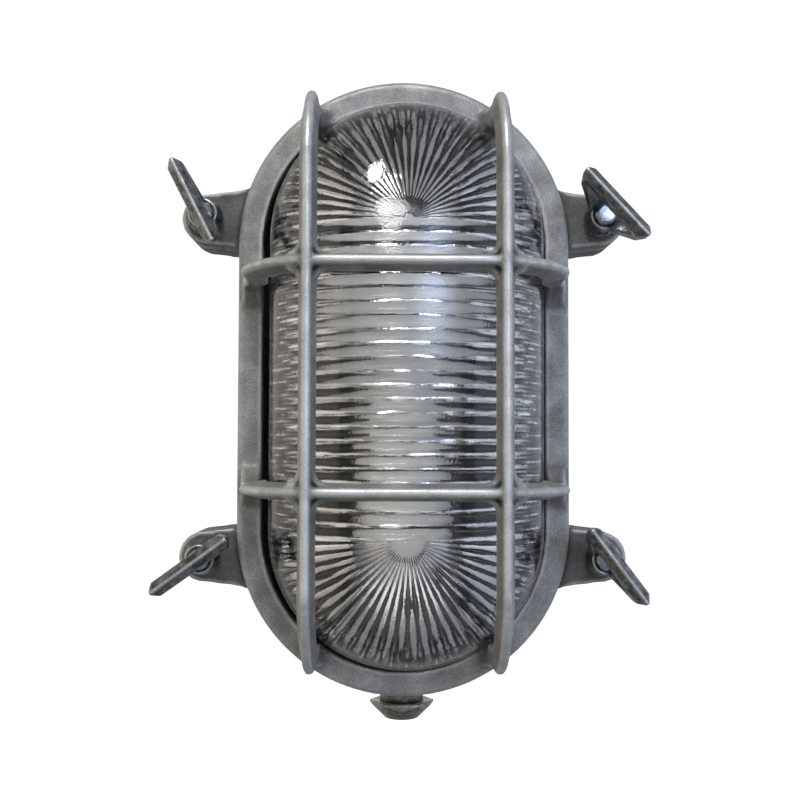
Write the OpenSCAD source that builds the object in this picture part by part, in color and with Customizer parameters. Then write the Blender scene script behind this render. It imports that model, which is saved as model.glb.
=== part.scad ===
// Oval cast-metal bulkhead light: a back housing, a cover frame with its guard cast on,
// a ribbed glass between two gaskets, and four wing nuts on studs that hold the stack shut.
// Millimetres. The wall is the plane Y = 0, the front faces -Y and Z is up.

/* [Rim] */
// Length of the cover's rim, top to bottom
rim_length = 240; // [230:1:256]
// Width of the cover's rim
rim_width = 129.4; // [126:0.2:136]
// Width of the rim's flat front face
rim_face = 9.5; // [8.5:0.5:10.5]
// Radius along the rim's outer front edge
rim_edge = 2.5; // [1:0.5:3.5]
// Thickness of the rim in front of the gasket ledge
rim_thick = 10.5; // [9:0.5:13]
// Slit between the clamped cover and the housing
cover_slit = 0.5; // [0.3:0.1:0.9]

/* [Guard] */
// Height of the guard above the rim's face
guard_height = 68; // [65:1:76]
// Distance between the two long bars
long_bar_spacing = 66.8; // [60:0.2:72]
// Distance between the two cross bars
cross_bar_spacing = 77.4; // [66:0.2:88]
// Depth of a bar from its nose to its back
bar_depth = 9; // [7:0.5:10]
// Width of a bar at its back
bar_back = 6.6; // [5.5:0.1:8]
// Radius of a bar's rounded nose
bar_nose = 1.75; // [1.2:0.05:2.4]
// Outer radius of the bend from leg to front
guard_bend = 34; // [26:1:38]
// Distance from the rim's outer edge to the outside of a leg where it bends
leg_inset = 5.8; // [5:0.1:7]
// How far the outside of a leg splays outwards on its way to the rim
leg_splay = 4.4; // [2:0.1:5]
// Width of a cross bar's foot on the rim
cross_foot = 16; // [12:0.5:17]
// Width of a long bar's foot on the rim
long_foot = 8; // [7:0.5:11]
// Radius of the hollow flare on both sides of a foot
foot_round = 20; // [14:1:24]
// Radius in the corners where two bars cross
window_fillet = 3.2; // [1.5:0.1:5]

/* [Glass] */
// Black gap between the rim's opening and the glass
glass_gap = 2.2; // [1.6:0.1:3]
// Share of its play by which the glass came to rest off centre
glass_rest = 0.75; // [0:0.05:0.9]
// Wall of the glass between the ribs
glass_wall = 4; // [3:0.5:5]
// Height of the glass's upright skirt above the rim's face
glass_skirt = 3.5; // [1:0.5:4]
// Reach of the clamped flange past the glass wall
glass_reach = 7; // [6.5:0.1:7.5]
// Thickness of the clamped flange
glass_flange = 5; // [4:0.5:7]
// Pitch of the ribs across the inside of the middle
rib_pitch = 4.8; // [4.4:0.1:6]
// Height of every rib
rib_height = 0.9; // [0.5:0.1:1.2]
// How far the dome stays inside the face of the skirt
dome_inset = 0.3; // [0.2:0.1:0.6]
// Radius of the round crest of a middle rib
rib_round = 1.9; // [1.5:0.1:2.1]
// Ribs in the fan at each end
fan_count = 27; // [19:2:31]
// Radius of the smooth button in the middle of each fan
fan_hub = 5; // [4:0.5:10]

/* [Housing and gaskets] */
// Depth of the housing from the wall to its gasket seat
housing_depth = 36; // [34:1:46]
// Inset of the housing's side behind the rim's side
housing_inset = 1.7; // [1:0.1:2.2]
// Draft of the housing's side from front to back
housing_draft = 4; // [2:0.5:6]
// Thickness of the housing's walls and floor
housing_wall = 4; // [3.5:0.5:5]
// Bevel round the back edge
back_bevel = 2.5; // [1:0.5:3.5]
// Thickness of the gasket behind the glass
rear_gasket = 2; // [1.5:0.5:3]
// Thickness of the gasket in front of the glass flange
front_gasket = 2.5; // [1.5:0.5:4]
// Width of the seat that carries the rear gasket
gasket_seat = 4; // [3:0.5:4.5]
// Play round the glass flange and the gaskets
flange_play = 1.2; // [0.3:0.1:1.4]
// Distance between the two wall screw holes
wall_hole_spacing = 170; // [162:1:174]
// Diameter of a wall screw hole
wall_hole = 5.5; // [4:0.5:7]

/* [Ears and studs] */
// Distance from the rim's side to a stud
stud_reach = 13.8; // [13:0.1:16]
// Distance of the studs past the ends of the straight sides
stud_past = 11.7; // [8:0.1:14]
// Diameter of a stud
stud_d = 8; // [6:0.5:8]
// Length of stud that shows past a tightened washer
stud_show = 12.4; // [11:0.2:15]
// Radius of an ear's end
ear_end = 9.8; // [9:0.1:11]
// Width of an ear at its root
ear_root = 23; // [21:0.5:28]
// Widening of the ear inside the rim, each side
ear_flare = 3; // [1:0.5:5]
// Height of the housing's ears
housing_ear = 18; // [14:1:28]
// Thickness of the cover's ears
cover_ear = 10.5; // [8:0.5:12]

/* [Wing nuts] */
// Height of a wing nut over its loop
nut_height = 35; // [32:1:40]
// Length of the loop's bar
nut_bar = 34; // [32:1:40]
// Thickness of the loop
nut_thick = 6; // [4.6:0.1:7]
// Length of the points at the ends of the loop
nut_point = 2.2; // [1:0.1:3]
// Height of the loop's bar
nut_bar_height = 6; // [5:0.5:8]
// Width of the loop's arms
nut_arm = 3.6; // [2.8:0.1:4.2]
// Radius of the hub's foot
nut_foot = 6.9; // [6.5:0.1:8.6]
// Radius of the hub's neck
nut_neck = 5.7; // [5.5:0.1:6.4]
// Height of the hub
nut_hub = 10; // [8.5:0.5:10.5]
// Thickness of the washer under a nut
washer_thick = 1.6; // [1:0.1:2.5]
// Outer diameter of the washer
washer_d = 13.8; // [13:0.1:18]

/* [Lamp and lampholder] */
// Diameter of the lamp's bulb
bulb_d = 74; // [56:1:76]
// Length of the lamp over its cap
lamp_length = 117; // [110:1:122]
// Height of the lamp's crown above the light's centre
lamp_top = 65; // [60:1:70]
// Height of the lamp's axis above the housing's floor
lamp_rise = 46; // [44:1:52]
// Diameter of the lamp's screw cap
cap_d = 26.4; // [24:0.2:26.6]
// Length of the lamp's screw cap
cap_length = 22.5; // [20:0.5:25]
// Diameter of the lampholder
holder_d = 40; // [38:0.5:44]
// Length of the lampholder
holder_length = 50; // [46:1:54]
// Solid back of the lampholder behind its socket
holder_back = 16; // [14:1:18]
// Height of the spring contact in the socket
contact_height = 4; // [3:0.5:6]
// Thickness of the bracket's sheet
bracket_thick = 1.5; // [1:0.1:2.5]
// Height of the bracket's bosses above the floor
bracket_boss = 6; // [4:0.5:9]
// Length of the bracket's foot under the lampholder
bracket_foot = 36; // [30:1:44]

/* [Cable gland] */
// Height of the gland's axis above the wall
gland_rise = 20; // [18:0.5:20]
// Hexagon across flats of the gland and its nut
gland_hex = 23; // [22:0.5:25]
// Diameter of the gland's entry thread
gland_thread = 20; // [18:0.5:20]
// Length of the gland's entry thread inside its boss
gland_thread_length = 12; // [11:0.5:16]
// Height of the gland's own hexagon
gland_collar = 4; // [3.5:0.5:6]
// Length of the spigot that the gland nut screws on
gland_spigot_length = 7; // [6.5:0.5:9]
// Length of the spigot that shows above its nut
gland_show = 3.6; // [2:0.2:4]
// Diameter of the spigot
gland_spigot = 18; // [17:0.1:18.4]
// Diameter of the hole in the rubber seal, for the cable
cable_d = 8; // [6:0.5:9]
// Thickness of the gland nut's end wall
gland_nut_end = 2.8; // [2.5:0.1:5]

/* [Clearances] */
// Radial play of a nut on its thread
thread_play = 0.05; // [0.03:0.01:0.08]
// Radial play of screws and studs in plain holes
hole_play = 0.3; // [0.2:0.05:0.5]

/* [Hidden] */
$fn = 96;
// How far a cutter runs past the face it opens
over = 1;
// Extra depth of a drilled hole past the end of its screw
drill_over = 0.5;
// How far a foot's flares stay inside the web that they grow from
foot_sink = 0.3;
cast_grey = "#8d8e8d";
zinc_grey = "#b7bcc2";
bare_brass = "#b9a05a";

// Plan of the oval
rim_r = rim_width / 2;
straight = rim_length - rim_width;
half_straight = straight / 2;
opening_r = rim_r - rim_face;
glass_r = opening_r - glass_gap;
flange_r = glass_r + glass_reach;
skirt_r = flange_r + flange_play;

// Stack of depths, counted from the wall
glass_back_z = housing_depth + rear_gasket;
glass_front_z = glass_back_z + glass_flange;
ledge_z = glass_front_z + front_gasket;
rim_z = ledge_z + rim_thick;
dome_z = rim_z + glass_skirt;
nose_z = rim_z + guard_height;
bend_z = nose_z - guard_bend;
cover_back_z = housing_depth + cover_slit;
ear_front_z = cover_back_z + cover_ear;
nut_z = ear_front_z + washer_thick;
stud_end_z = nut_z + stud_show;

// Glass
dome_r = glass_r - dome_inset;
bore_r = dome_r - glass_wall;
rib_crest_r = bore_r - rib_height;
rib_embed = glass_wall / 4;
button_rise = 0.1;

// Housing
housing_r = rim_r - housing_inset;
cavity_r = flange_r - gasket_seat;
cavity_back_r = housing_r - housing_draft - housing_wall;
boss_r = 5;
wall_boss_r = 7;
wall_boss_height = 4;
earth_boss_r = 6;

// Corners: name, side and end, and how many degrees each wing nut came to rest from level
stud_x = rim_r + stud_reach;
stud_y = half_straight + stud_past;
stud_r = stud_d / 2;
stud_root = 3;
stud_root_z = housing_depth - housing_ear + stud_root;
corners = [
    ["top_left", -1, 1], ["top_right", 1, 1], ["bottom_left", -1, -1], ["bottom_right", 1, -1]
];
nut_rest_angle = [["top_left", -63], ["top_right", -47], ["bottom_left", 36], ["bottom_right", -53]];

// Lampholder, lamp and bracket
lamp_z = housing_wall + lamp_rise;
tip_seat = holder_back + contact_height;
holder_y = lamp_top - lamp_length - tip_seat;
holder_r = holder_d / 2;
shell_play = 0.4;
shell_thick = 0.8;
shell_r = cap_d / 2 + shell_play + shell_thick;
shell_length = 28;
shell_floor_hole = 9;
contact_width = 6;
contact_half = 6;
contact_thick = 0.6;
bracket_z = housing_wall + bracket_boss;
bracket_half = 0.95 * holder_r;
window_half = 9;
window_height = 27;
holder_screw_inset = 5.5;
holder_screw_x = holder_r - holder_screw_inset;
terminal_offset = 8;
bracket_screw_x = 9;
bracket_screw_inset = 9;
bracket_screw_y = holder_y + bracket_foot - bracket_screw_inset;
earth_x = 34;
earth_y = holder_y;

// Screws: shank radius, length under the head, head radius, head height
bracket_screw = [2, 7, 3.8, 2.6];
holder_screw = [1.75, 9, 3.2, 2.2];
terminal_screw = [1.75, 9, 3, 2.4];
earth_screw_size = [2.5, 8, 4.5, 3];
terminal_pocket = 3.4;
slot_width = 0.9;
slot_depth = 1.1;

// Gland, counted outwards from its pad on the housing's lower end
pad_inset = 0.5;
gland_pad_r = rim_r - pad_inset;
gland_boss_r = 14;
gland_washer_thick = 1.5;
collar_end = gland_washer_thick + gland_collar;
spigot_end = collar_end + gland_spigot_length;
gland_ring_thick = 0.8;
gland_nut_z = collar_end + gland_show;
gland_nut_length = spigot_end + gland_ring_thick + gland_nut_end - gland_nut_z;
gland_bore_r = 6;
seal_r = 7;
seal_play = 0.05;
gland_mouth_r = 7;
seal_shoulder = 1;
seal_length = gland_spigot_length - seal_shoulder;

// Stands a shape that was drawn lying on its back, Z towards the viewer, against the wall.
module upright() {
    rotate([90, 0, 0]) children();
}

// The oval outline at a given radius.
module oval(radius) {
    square([2 * radius, straight], center = true);
    for (end = [-1, 1]) translate([0, end * half_straight]) circle(radius);
}

module oval_prism(radius, from_z, to_z) {
    translate([0, 0, from_z]) linear_extrude(to_z - from_z) oval(radius);
}

module oval_ring(inner, outer, from_z, to_z) {
    translate([0, 0, from_z]) linear_extrude(to_z - from_z) difference() {
        oval(outer);
        oval(inner);
    }
}

// Sweeps a profile, drawn as radius and depth, round the oval.
module oval_sweep() {
    for (turn = [0, 180]) rotate(turn) translate([0, half_straight, 0]) {
        rotate_extrude(angle = 180) children();
        rotate([90, 0, 0]) linear_extrude(straight) children();
    }
}

// Places children at both ends of the glass's vault, facing outwards.
module vault_ends() {
    for (turn = [0, 180]) rotate(turn) translate([0, half_straight, dome_z]) children();
}

// A vault with round ends, as the glass has.
module vault(radius) {
    translate([0, 0, dome_z]) rotate([90, 0, 0]) linear_extrude(straight, center = true)
        intersection() {
            circle(radius);
            translate([-radius, 0]) square([2 * radius, radius]);
        }
    vault_ends() rotate_extrude(angle = 180) intersection() {
        circle(radius);
        square(radius);
    }
}

// The flat button at the middle of each fan, where the ribs of a round end meet.
module fan_buttons(radius) {
    vault_ends() cylinder(r = fan_hub, h = radius + button_rise);
}

// The glass and its front gasket, as they came to rest to one side of their seat.
module at_rest() {
    translate([glass_rest * flange_play, 0, 0]) children();
}

module at_corner(corner) {
    translate([corner[1] * stud_x, corner[2] * stud_y, 0]) children();
}

// A shape on the lamp's axis, its Z pointing up the axis from the lampholder's back.
module on_lamp_axis() {
    translate([0, holder_y, lamp_z]) rotate([-90, 0, 0]) children();
}

// A shape on the gland's axis, its Z pointing down out of the housing from the gland's pad.
module on_gland_axis() {
    translate([0, -half_straight - gland_pad_r, gland_rise]) rotate([90, 0, 0]) children();
}

module tube(inner, outer, from_z, to_z) {
    translate([0, 0, from_z]) difference() {
        cylinder(r = outer, h = to_z - from_z);
        translate([0, 0, -over]) cylinder(r = inner, h = to_z - from_z + 2 * over);
    }
}

// A slotted screw, head up, with the underside of its head at Z = 0.
module slotted_screw(size) {
    translate([0, 0, -size[1]]) cylinder(r = size[0], h = size[1]);
    difference() {
        cylinder(r = size[2], h = size[3]);
        translate([-size[2] - over, -slot_width / 2, size[3] - slot_depth])
            cube([2 * (size[2] + over), slot_width, slot_depth + over]);
    }
}

// The outline of an ear, its stud at the origin and its root towards the rim's middle.
module ear_outline(side) {
    circle(ear_end);
    root = ear_root / 2;
    inner = stud_reach + rim_face;
    mirror([side < 0 ? 1 : 0, 0]) polygon([
        [0, ear_end], [-stud_reach, root], [-inner, root + ear_flare],
        [-inner, -root - ear_flare], [-stud_reach, -root], [0, -ear_end]
    ]);
}

module ears(from_z, to_z) {
    for (corner = corners) at_corner(corner)
        translate([0, 0, from_z]) linear_extrude(to_z - from_z) ear_outline(corner[1]);
}

module stud_holes(radius, from_z, to_z) {
    for (corner = corners) at_corner(corner)
        translate([0, 0, from_z]) cylinder(r = radius, h = to_z - from_z);
}

// The pan: drafted sides, a bevelled back edge and a flat seat for the gasket.
module housing_outside() {
    back_r = housing_r - housing_draft;
    oval_sweep() polygon([
        [0, 0], [back_r - back_bevel, 0], [back_r, back_bevel],
        [housing_r, housing_depth - rear_gasket], [housing_r, housing_depth], [0, housing_depth]
    ]);
    ears(housing_depth - housing_ear, housing_depth);
    gland_boss();
}

module gland_boss() {
    on_gland_axis() translate([0, 0, -gland_thread_length])
        cylinder(r = gland_boss_r, h = gland_thread_length);
}

module housing_cavity() {
    oval_sweep() polygon([
        [0, housing_wall], [cavity_back_r, housing_wall],
        [cavity_r, housing_depth], [cavity_r, housing_depth + over], [0, housing_depth + over]
    ]);
}

// Bosses that stand on the pan's floor for the wall screws, the bracket and the earth screw.
module housing_bosses() {
    embed = housing_wall / 2;
    for (end = [-1, 1]) translate([0, end * wall_hole_spacing / 2, embed])
        cylinder(r = wall_boss_r, h = housing_wall - embed + wall_boss_height);
    for (side = [-1, 1]) translate([side * bracket_screw_x, bracket_screw_y, embed])
        cylinder(r = boss_r, h = bracket_z - embed);
    translate([earth_x, earth_y, embed]) cylinder(r = earth_boss_r, h = bracket_z - embed);
}

// The gland's boss as it shows inside the cavity, with its mouth for the thread left open.
module gland_boss_inside() {
    intersection() {
        gland_boss();
        oval_prism(housing_r - housing_draft / 2, housing_wall / 2, housing_depth);
    }
}

module back_housing() {
    screw_hole = bracket_screw[0] + thread_play;
    earth_hole = earth_screw_size[0] + thread_play;
    color(cast_grey) upright() difference() {
        union() {
            difference() {
                housing_outside();
                housing_cavity();
            }
            housing_bosses();
            gland_boss_inside();
        }
        stud_holes(stud_r + thread_play, stud_root_z, housing_depth + over);
        for (end = [-1, 1]) translate([0, end * wall_hole_spacing / 2, -over])
            cylinder(d = wall_hole, h = housing_wall + wall_boss_height + 2 * over);
        for (side = [-1, 1])
            translate([side * bracket_screw_x, bracket_screw_y, bracket_z - bracket_screw[1]])
                cylinder(r = screw_hole, h = bracket_screw[1] + over);
        translate([earth_x, earth_y, bracket_z - earth_screw_size[1]])
            cylinder(r = earth_hole, h = earth_screw_size[1] + over);
        on_gland_axis() translate([0, 0, -gland_thread_length - over])
            cylinder(r = gland_thread / 2 + thread_play, h = gland_thread_length + 2 * over);
    }
}

// Section of a guard bar: wide at its back, round at its nose.
module bar_section() {
    nose_y = bar_depth - bar_nose;
    half = bar_back / 2;
    polygon([[-half, 0], [half, 0], [bar_nose, nose_y], [-bar_nose, nose_y]]);
    translate([0, nose_y]) circle(bar_nose);
}

// The same section turned so that its nose points outwards at a given radius.
module bar_section_outwards(radius) {
    translate([radius - bar_depth, 0]) rotate(-90) bar_section();
}

// The flared section of a foot, across its hoop. It runs down from inside the leg to a given depth.
module foot_section(foot_width, from_z) {
    half_width = foot_width / 2;
    middle_y = bar_nose - foot_sink + foot_round;
    top_z = rim_z + sqrt(foot_round * foot_round - pow(middle_y - half_width, 2));
    difference() {
        translate([-half_width, from_z]) square([foot_width, top_z - from_z]);
        for (side = [-1, 1]) translate([side * middle_y, top_z]) circle(foot_round);
    }
}

// One hoop of the guard, standing on two legs along X, each with a web that splays to its foot.
module guard_hoop(half_span, foot_width) {
    front_half = half_span - guard_bend;
    leg_z = (ledge_z + rim_z) / 2;
    foot_x = half_span + leg_splay;
    web_x = half_span - bar_nose;
    inner_x = half_span - bar_depth / 2;
    web = [[inner_x, bend_z], [web_x, bend_z], [foot_x, rim_z], [foot_x, leg_z], [inner_x, leg_z]];
    translate([-front_half, 0, nose_z - bar_depth]) rotate([90, 0, 90])
        linear_extrude(2 * front_half) bar_section();
    for (side = [0, 1]) mirror([side, 0, 0]) {
        translate([front_half, 0, bend_z]) rotate([90, 0, 0])
            rotate_extrude(angle = 90) bar_section_outwards(guard_bend);
        translate([0, 0, leg_z]) linear_extrude(bend_z - leg_z) bar_section_outwards(half_span);
        rotate([90, 0, 0]) linear_extrude(2 * bar_nose, center = true) polygon(web);
        intersection() {
            translate([-foot_sink, 0, 0]) rotate([90, 0, 0])
                linear_extrude(foot_width + over, center = true) polygon(web);
            rotate([90, 0, 90]) linear_extrude(foot_x) foot_section(foot_width, leg_z + foot_sink);
        }
    }
}

// A rounded inside corner of a guard window, filling the quadrant X > 0, Y > 0.
module window_corner() {
    start = bar_nose;
    reach = bar_back / 2 + window_fillet;
    linear_extrude(bar_depth / 2) difference() {
        translate([start, start]) square(reach - start);
        translate([reach, reach]) circle(window_fillet);
    }
}

module guard() {
    long_x = long_bar_spacing / 2;
    cross_y = cross_bar_spacing / 2;
    leg_r = rim_r - leg_inset;
    for (side = [-1, 1]) {
        translate([0, side * cross_y, 0]) guard_hoop(leg_r, cross_foot);
        translate([side * long_x, 0, 0]) rotate(90)
            guard_hoop(half_straight + sqrt(leg_r * leg_r - long_x * long_x), long_foot);
    }
    for (x = [-1, 1], y = [-1, 1], turn = [0, 90, 180, 270])
        translate([x * long_x, y * cross_y, nose_z - bar_depth]) rotate(turn) window_corner();
}

// The rim as a solid block with a rounded front edge.
module rim_block() {
    oval_prism(rim_r, cover_back_z, rim_z - rim_edge);
    oval_prism(rim_r - rim_edge, rim_z - rim_edge, rim_z);
    oval_sweep() translate([rim_r - rim_edge, rim_z - rim_edge]) circle(rim_edge);
}

module cover_frame() {
    color(cast_grey) upright() difference() {
        union() {
            rim_block();
            ears(cover_back_z, ear_front_z);
            guard();
        }
        oval_prism(skirt_r, cover_back_z - over, ledge_z);
        oval_prism(opening_r, ledge_z - over, dome_z);
        vault(opening_r);
        stud_holes(stud_r + hole_play, cover_back_z - over, ear_front_z + over);
    }
}

// Half-round ribs across the inside of the glass, their ends run down into the skirt.
module middle_ribs() {
    count = floor(straight / rib_pitch);
    sunk = asin(rib_embed / bore_r);
    translate([0, 0, dome_z]) rotate([90, 0, 0]) rotate(-sunk) rotate_extrude(angle = 180 + 2 * sunk)
        for (i = [0 : count - 1])
            translate([rib_crest_r + rib_round, (i - (count - 1) / 2) * rib_pitch]) circle(rib_round);
}

// Ribs that fan out from the middle of each round end, their outer ends run down into the skirt.
module fan_ribs() {
    step = 180 / fan_count;
    rib_angle = step / 2;
    vault_ends() for (i = [0 : fan_count - 1]) rotate((i + 0.5) * step - rib_angle / 2)
        rotate_extrude(angle = rib_angle) intersection() {
            difference() {
                circle(bore_r + rib_embed);
                circle(rib_crest_r);
            }
            translate([fan_hub + rib_embed, -rib_embed]) square([bore_r, bore_r + 2 * rib_embed]);
        }
}

module ribbed_glass() {
    color("#c9d2d6", 0.5) upright() at_rest() {
        difference() {
            union() {
                oval_prism(flange_r, glass_back_z, glass_front_z);
                oval_prism(glass_r, glass_back_z, dome_z);
                vault(dome_r);
                fan_buttons(dome_r);
            }
            oval_prism(bore_r, glass_back_z - over, dome_z);
            vault(bore_r);
            fan_buttons(bore_r);
        }
        middle_ribs();
        fan_ribs();
    }
}

module front_gasket() {
    color("#101010") upright() at_rest()
        oval_ring(glass_r + flange_play / 2, flange_r, glass_front_z, ledge_z);
}

module rear_gasket() {
    color("#101010") upright() oval_ring(cavity_r, flange_r, housing_depth, glass_back_z);
}

// Four studs screwed into the housing's ears, each with a bevelled end.
module studs() {
    bevel = stud_r / 4;
    color(zinc_grey) upright() for (corner = corners) at_corner(corner) {
        translate([0, 0, stud_root_z]) cylinder(r = stud_r, h = stud_end_z - bevel - stud_root_z);
        translate([0, 0, stud_end_z - bevel]) cylinder(r1 = stud_r, r2 = stud_r - bevel, h = bevel);
    }
}

module washer(corner) {
    color(zinc_grey) upright() at_corner(corner)
        tube(stud_r + hole_play, washer_d / 2, ear_front_z, nut_z);
}

// The nut's hub, bored for the stud and countersunk at its mouth.
module nut_hub_solid() {
    bore = stud_r + thread_play;
    mouth = (nut_neck - bore) / 2;
    rotate_extrude() polygon([
        [bore, 0], [nut_foot, 0], [nut_foot, nut_hub / 4], [nut_neck, nut_hub / 2],
        [nut_neck, nut_hub], [bore + mouth, nut_hub], [bore, nut_hub - mouth]
    ]);
}

// Two arms that spread from the hub to the ends of the loop's bar.
module nut_arms() {
    low = nut_hub / 3;
    bar_low = nut_height - nut_bar_height;
    bar_mid = nut_height - nut_bar_height / 2;
    end = nut_bar / 2;
    inner = stud_r + hole_play;
    root = (nut_foot + nut_neck) / 2;
    rotate([90, 0, 0]) linear_extrude(nut_thick, center = true) for (side = [0, 1]) mirror([side, 0])
        polygon([
            [inner, low], [root, low], [root, nut_hub - low / 2], [end, bar_low],
            [end, bar_mid], [end - nut_arm, bar_mid], [inner + hole_play, nut_hub]
        ]);
}

// The loop's bar, ridged along its front.
module nut_loop_bar() {
    half = nut_thick / 2;
    ridge = half / 6;
    eaves = nut_height - half;
    rotate([90, 0, 90]) linear_extrude(nut_bar, center = true) polygon([
        [-half, nut_height - nut_bar_height], [half, nut_height - nut_bar_height],
        [half, eaves], [ridge, nut_height], [-ridge, nut_height], [-half, eaves]
    ]);
}

// The loop seen from the front: a bar with a blunt point at each end.
module nut_plan() {
    half = nut_thick / 2;
    tip = half / 4;
    end = nut_bar / 2;
    shoulder = end - nut_point;
    polygon([
        [end, tip], [shoulder, half], [-shoulder, half], [-end, tip],
        [-end, -tip], [-shoulder, -half], [shoulder, -half], [end, -tip]
    ]);
}

module wing_nut(corner) {
    rest = nut_rest_angle[search([corner[0]], nut_rest_angle)[0]][1];
    color("#7d7e7e") upright() at_corner(corner) translate([0, 0, nut_z]) rotate(rest) {
        nut_hub_solid();
        intersection() {
            union() {
                nut_arms();
                nut_loop_bar();
            }
            linear_extrude(nut_height + over) nut_plan();
        }
    }
}

// The porcelain lampholder: a cup with a thick back, pocketed for its terminals.
module lampholder_body() {
    edge = 2;
    holder_thread = holder_screw[1] - bracket_thick;
    terminal_end = terminal_pocket + terminal_screw[1];
    color("#e6e4dc") upright() on_lamp_axis() difference() {
        rotate_extrude() {
            square([holder_r - edge, holder_length]);
            square([holder_r, holder_length - edge]);
            translate([holder_r - edge, holder_length - edge]) circle(edge);
        }
        translate([0, 0, holder_back]) cylinder(r = shell_r + shell_play, h = holder_length);
        for (side = [-1, 1]) {
            translate([side * holder_screw_x, 0, -over])
                cylinder(r = holder_screw[0] + thread_play, h = over + holder_thread + drill_over);
            translate([0, side * terminal_offset, -over])
                cylinder(r = terminal_screw[2] + hole_play, h = over + terminal_pocket);
            translate([0, side * terminal_offset, 0])
                cylinder(r = terminal_screw[0] + thread_play, h = terminal_end + drill_over);
        }
    }
}

// The brass screw shell, its floor pierced for the centre contact.
module screw_shell() {
    color(bare_brass) upright() on_lamp_axis() {
        tube(shell_floor_hole, shell_r, holder_back, holder_back + shell_thick);
        tube(shell_r - shell_thick, shell_r, holder_back, holder_back + shell_length);
    }
}

// A folded leaf spring that presses on the tip of the lamp's cap.
module centre_contact() {
    lean = contact_half / 3;
    top = contact_half - lean;
    color(bare_brass) upright() on_lamp_axis() translate([0, 0, holder_back]) rotate([90, 0, 0])
        linear_extrude(contact_width, center = true) difference() {
            polygon([[-contact_half, 0], [contact_half, 0], [top, contact_height], [-top, contact_height]]);
            polygon([
                [contact_thick - contact_half, contact_thick], [contact_half - contact_thick, contact_thick],
                [top - contact_thick, contact_height - contact_thick],
                [contact_thick - top, contact_height - contact_thick]
            ]);
        }
}

module terminal_screws() {
    color(bare_brass) upright() on_lamp_axis() for (side = [-1, 1])
        translate([0, side * terminal_offset, terminal_pocket])
            mirror([0, 0, 1]) slotted_screw(terminal_screw);
}

module holder_screws() {
    color(zinc_grey) upright() on_lamp_axis() for (side = [-1, 1])
        translate([side * holder_screw_x, 0, -bracket_thick])
            mirror([0, 0, 1]) slotted_screw(holder_screw);
}

// A folded steel angle: its foot on the housing's bosses, its upright behind the lampholder.
module lampholder_bracket() {
    color("#a9adb0") upright() difference() {
        union() {
            translate([-bracket_half, holder_y - bracket_thick, bracket_z])
                cube([2 * bracket_half, bracket_foot, bracket_thick]);
            translate([-bracket_half, holder_y - bracket_thick, bracket_z])
                cube([2 * bracket_half, bracket_thick, lamp_z + bracket_half - bracket_z]);
        }
        translate([-window_half, holder_y - bracket_thick - over, lamp_z - window_height / 2])
            cube([2 * window_half, bracket_thick + 2 * over, window_height]);
        on_lamp_axis() for (side = [-1, 1]) translate([side * holder_screw_x, 0, -bracket_thick - over])
            cylinder(r = holder_screw[0] + hole_play, h = bracket_thick + 2 * over);
        for (side = [-1, 1]) translate([side * bracket_screw_x, bracket_screw_y, bracket_z - over])
            cylinder(r = bracket_screw[0] + hole_play, h = bracket_thick + 2 * over);
    }
}

module bracket_screws() {
    color(zinc_grey) upright() for (side = [-1, 1])
        translate([side * bracket_screw_x, bracket_screw_y, bracket_z + bracket_thick])
            slotted_screw(bracket_screw);
}

module earth_screw() {
    color(bare_brass) upright() translate([earth_x, earth_y, bracket_z])
        slotted_screw(earth_screw_size);
}

// The lamp as one closed form: cap, neck, flare and round bulb.
module lamp() {
    bulb_r = bulb_d / 2;
    bulb_z = lamp_length - bulb_r;
    neck_r = cap_d / 2 + shell_thick;
    flare = 40;
    tip_r = 4.5;
    tip_height = 2;
    button_height = 4.5;
    crown_flat = 0.1;
    flare_r = bulb_r * cos(flare);
    flare_z = bulb_z - bulb_r * sin(flare);
    neck_z = flare_z - (flare_r - neck_r) / tan(flare);
    color("#eceae4") upright() on_lamp_axis() translate([0, 0, tip_seat]) rotate_extrude() {
        square([tip_r, tip_height]);
        polygon([[0, tip_height], [tip_r, tip_height], [cap_d / 3, button_height], [0, button_height]]);
        translate([0, button_height]) square([cap_d / 2, cap_length]);
        polygon([
            [0, button_height + cap_length], [neck_r, button_height + cap_length],
            [neck_r, neck_z], [flare_r, flare_z], [0, flare_z]
        ]);
        intersection() {
            translate([0, bulb_z]) circle(bulb_r);
            square([bulb_r, lamp_length - crown_flat]);
        }
    }
}

module gland_washer() {
    color("#6b3f2a") upright() on_gland_axis()
        tube(gland_thread / 2 + hole_play, gland_hex / 2, 0, gland_washer_thick);
}

// The gland's body: entry thread, hexagon and spigot, bored for the cable and its seal.
module gland_body() {
    color("#7b7d80") upright() on_gland_axis() difference() {
        union() {
            translate([0, 0, -gland_thread_length])
                cylinder(d = gland_thread, h = gland_thread_length + gland_washer_thick);
            translate([0, 0, gland_washer_thick]) hexagon_prism(gland_collar);
            translate([0, 0, collar_end]) cylinder(d = gland_spigot, h = gland_spigot_length);
        }
        translate([0, 0, -gland_thread_length - over])
            cylinder(r = gland_bore_r, h = spigot_end + gland_thread_length + 2 * over);
        translate([0, 0, spigot_end - seal_length]) cylinder(r = seal_r, h = seal_length + over);
    }
}

module hexagon_prism(height) {
    cylinder(d = gland_hex / cos(30), h = height, $fn = 6);
}

module gland_seal() {
    color("#161616") upright() on_gland_axis()
        tube(cable_d / 2, seal_r - seal_play, spigot_end - seal_length, spigot_end);
}

module gland_slip_ring() {
    inner = cable_d / 2 + hole_play;
    outer = gland_spigot / 2 - hole_play;
    color(zinc_grey) upright() on_gland_axis()
        tube(inner, outer, spigot_end, spigot_end + gland_ring_thick);
}

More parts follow.
